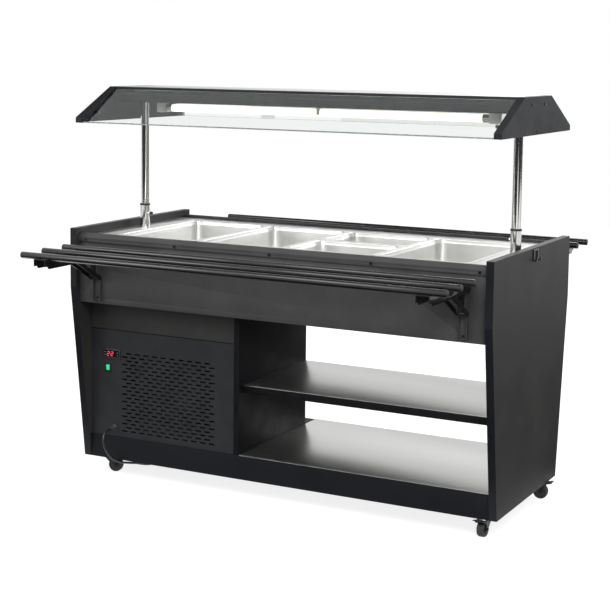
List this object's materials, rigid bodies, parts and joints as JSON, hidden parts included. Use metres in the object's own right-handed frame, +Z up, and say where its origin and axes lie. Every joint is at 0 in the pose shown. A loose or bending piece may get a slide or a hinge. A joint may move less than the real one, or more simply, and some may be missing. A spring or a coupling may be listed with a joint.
{
  "type": "mobile salad bar",
  "caption": "Mobile refrigerated salad bar on casters, with a pan well, height-adjustable glass canopy, fold-down tray slides and open shelves.",
  "frame": {"origin": "on the floor, under the middle of the cabinet", "axes": "+X along the length to the customer's right when facing the controls, -Y towards the front with the controls, +Z up"},
  "size_m": [1.5465, 1.34, 1.352],
  "materials": {
    "laminate": "satin charcoal laminate board",
    "panel_steel": "satin charcoal powder coat",
    "black_metal": "semi-gloss black enamel",
    "black_board": "black laminate board",
    "stainless": "brushed stainless steel",
    "polished_steel": "polished stainless steel",
    "insulation": "foamed body in a sheet skin",
    "canopy_board": "core board in a satin charcoal skin",
    "glass": "clear tempered glass",
    "lamp_glass": "frosted lamp tube",
    "white_plastic": "moulded",
    "black_plastic": "moulded",
    "window": "tinted display window",
    "rocker": "translucent green rocker",
    "copper": "copper pipe",
    "fin_alloy": "thin fins",
    "compressor_paint": "black enamel",
    "zinc_steel": "zinc-plated pressing",
    "tread": "dark tread",
    "cord_rubber": "flexible sheath"
  },
  "bodies": {
    "cabinet": {"left_end_panel": "laminate", "right_end_panel": "laminate", "fascia_panels": "laminate", "top_rails": "panel_steel", "cabinet_screws": "stainless", "base_deck": "black_board", "kick_panels": "laminate", "middle_shelf": "black_board", "shelf_sheets": "stainless", "divider_panel": "black_board", "bay_panels": "laminate", "grille_panel": "panel_steel", "control_housings": "black_plastic", "display_window": "window", "well_body": "insulation", "well_liner": "stainless", "pan_bars": "stainless", "compressor": "compressor_paint", "condenser": "fin_alloy", "fan_shroud": "black_plastic", "fan_motor": "compressor_paint", "refrigerant_lines": "copper", "post_sleeves": "polished_steel", "wall_brackets": "panel_steel", "caster_plates": "zinc_steel", "side_hook": "black_metal", "strain_relief": "cord_rubber", "power_cord": "cord_rubber", "cord_coil": "cord_rubber", "plug": "cord_rubber"},
    "canopy": {"post_tubes": "polished_steel", "canopy_top": "canopy_board", "canopy_cheeks": "laminate", "canopy_glass": "glass", "canopy_fixings": "black_metal", "lamp_tube": "lamp_glass", "lamp_holders": "white_plastic"},
    "left_thumb_screw_body": {"left_thumb_screw": "stainless"},
    "right_thumb_screw_body": {"right_thumb_screw": "stainless"},
    "full_pan_left_body": {"full_pan_left": "stainless"},
    "full_pan_mid_body": {"full_pan_mid": "stainless"},
    "half_pan_front_body": {"half_pan_front": "stainless"},
    "half_pan_rear_body": {"half_pan_rear": "stainless"},
    "full_pan_right_body": {"full_pan_right": "stainless"},
    "front_tray_slide_body": {"front_tray_slide": "black_metal"},
    "front_struts_body": {"front_struts": "black_metal"},
    "rear_tray_slide_body": {"rear_tray_slide": "black_metal"},
    "rear_struts_body": {"rear_struts": "black_metal"},
    "fan_blade_body": {"fan_blade": "black_plastic"},
    "rocker_switch_body": {"rocker_switch": "rocker"},
    "front_right_brake_body": {"front_right_brake": "black_plastic"},
    "rear_right_brake_body": {"rear_right_brake": "black_plastic"},
    "front_left_fork_body": {"front_left_fork": "zinc_steel"},
    "front_left_wheel_body": {"front_left_wheel": "tread"},
    "front_right_fork_body": {"front_right_fork": "zinc_steel"},
    "front_right_wheel_body": {"front_right_wheel": "tread"},
    "rear_left_fork_body": {"rear_left_fork": "zinc_steel"},
    "rear_left_wheel_body": {"rear_left_wheel": "tread"},
    "rear_right_fork_body": {"rear_right_fork": "zinc_steel"},
    "rear_right_wheel_body": {"rear_right_wheel": "tread"}
  },
  "joints": [
    {"name": "canopy_height", "type": "slide", "parent": "cabinet", "child": "canopy", "axis": [0, 0, 1], "range_m": [-0.14, 0.05]},
    {"name": "left_thumb_turn", "type": "hinge", "parent": "cabinet", "child": "left_thumb_screw_body", "pos_m": [-0.68, 0, 0.897], "axis": [1, 0, 0], "range_deg": [0, 360]},
    {"name": "right_thumb_turn", "type": "hinge", "parent": "cabinet", "child": "right_thumb_screw_body", "pos_m": [0.68, 0, 0.897], "axis": [-1, 0, 0], "range_deg": [0, 360]},
    {"name": "full_pan_left_lift", "type": "slide", "parent": "cabinet", "child": "full_pan_left_body", "axis": [0, 0, 1], "range_m": [0, 0.2]},
    {"name": "full_pan_mid_lift", "type": "slide", "parent": "cabinet", "child": "full_pan_mid_body", "axis": [0, 0, 1], "range_m": [0, 0.2]},
    {"name": "half_pan_front_lift", "type": "slide", "parent": "cabinet", "child": "half_pan_front_body", "axis": [0, 0, 1], "range_m": [0, 0.2]},
    {"name": "half_pan_rear_lift", "type": "slide", "parent": "cabinet", "child": "half_pan_rear_body", "axis": [0, 0, 1], "range_m": [0, 0.2]},
    {"name": "full_pan_right_lift", "type": "slide", "parent": "cabinet", "child": "full_pan_right_body", "axis": [0, 0, 1], "range_m": [0, 0.2]},
    {"name": "front_tray_fold", "type": "hinge", "parent": "cabinet", "child": "front_tray_slide_body", "pos_m": [0, -0.357, 0.79], "axis": [1, 0, 0], "range_deg": [0, 90]},
    {"name": "front_strut_fold", "type": "hinge", "parent": "front_tray_slide_body", "child": "front_struts_body", "pos_m": [0, -0.497, 0.79], "axis": [-1, 0, 0], "range_deg": [0, 150.6]},
    {"name": "rear_tray_fold", "type": "hinge", "parent": "cabinet", "child": "rear_tray_slide_body", "pos_m": [0, 0.357, 0.79], "axis": [-1, 0, 0], "range_deg": [0, 90]},
    {"name": "rear_strut_fold", "type": "hinge", "parent": "rear_tray_slide_body", "child": "rear_struts_body", "pos_m": [0, 0.497, 0.79], "axis": [1, 0, 0], "range_deg": [0, 150.6]},
    {"name": "front_left_swivel", "type": "hinge", "parent": "cabinet", "child": "front_left_fork_body", "pos_m": [-0.708, -0.22, 0.06], "axis": [0, 0, 1], "continuous": true},
    {"name": "front_left_spin", "type": "hinge", "parent": "front_left_fork_body", "child": "front_left_wheel_body", "pos_m": [-0.68042, -0.21514, 0.025], "axis": [-0.1736, 0.9848, 0], "continuous": true},
    {"name": "front_right_swivel", "type": "hinge", "parent": "cabinet", "child": "front_right_fork_body", "pos_m": [0.708, -0.22, 0.06], "axis": [0, 0, 1], "continuous": true},
    {"name": "front_right_spin", "type": "hinge", "parent": "front_right_fork_body", "child": "front_right_wheel_body", "pos_m": [0.70702, -0.24798, 0.025], "axis": [0.9994, -0.0349, 0], "continuous": true},
    {"name": "rear_left_swivel", "type": "hinge", "parent": "cabinet", "child": "rear_left_fork_body", "pos_m": [-0.708, 0.22, 0.06], "axis": [0, 0, 1], "continuous": true},
    {"name": "rear_left_spin", "type": "hinge", "parent": "rear_left_fork_body", "child": "rear_left_wheel_body", "pos_m": [-0.73431, 0.21042, 0.025], "axis": [0.342, -0.9397, 0], "continuous": true},
    {"name": "rear_right_swivel", "type": "hinge", "parent": "cabinet", "child": "rear_right_fork_body", "pos_m": [0.708, 0.22, 0.06], "axis": [0, 0, 1], "continuous": true},
    {"name": "rear_right_spin", "type": "hinge", "parent": "rear_right_fork_body", "child": "rear_right_wheel_body", "pos_m": [0.73589, 0.22244, 0.025], "axis": [-0.0872, 0.9962, 0], "continuous": true},
    {"name": "front_right_brake_press", "type": "hinge", "parent": "front_right_fork_body", "child": "front_right_brake_body", "pos_m": [0.70653, -0.26197, 0.05], "axis": [0.9994, -0.0349, 0], "range_deg": [0, 12]},
    {"name": "rear_right_brake_press", "type": "hinge", "parent": "rear_right_fork_body", "child": "rear_right_brake_body", "pos_m": [0.74984, 0.22366, 0.05], "axis": [-0.0872, 0.9962, 0], "range_deg": [0, 12]},
    {"name": "fan_spin", "type": "hinge", "parent": "cabinet", "child": "fan_blade_body", "pos_m": [-0.44, -0.242, 0.3], "axis": [0, 1, 0], "continuous": true},
    {"name": "rocker_press", "type": "hinge", "parent": "cabinet", "child": "rocker_switch_body", "pos_m": [-0.67, -0.273, 0.386], "axis": [-1, 0, 0], "range_deg": [0, 14]}
  ],
  "couplings": [
    {"joint": "front_strut_fold", "follows": "front_tray_fold", "ratio": 1.67},
    {"joint": "rear_strut_fold", "follows": "rear_tray_fold", "ratio": 1.67}
  ]
}
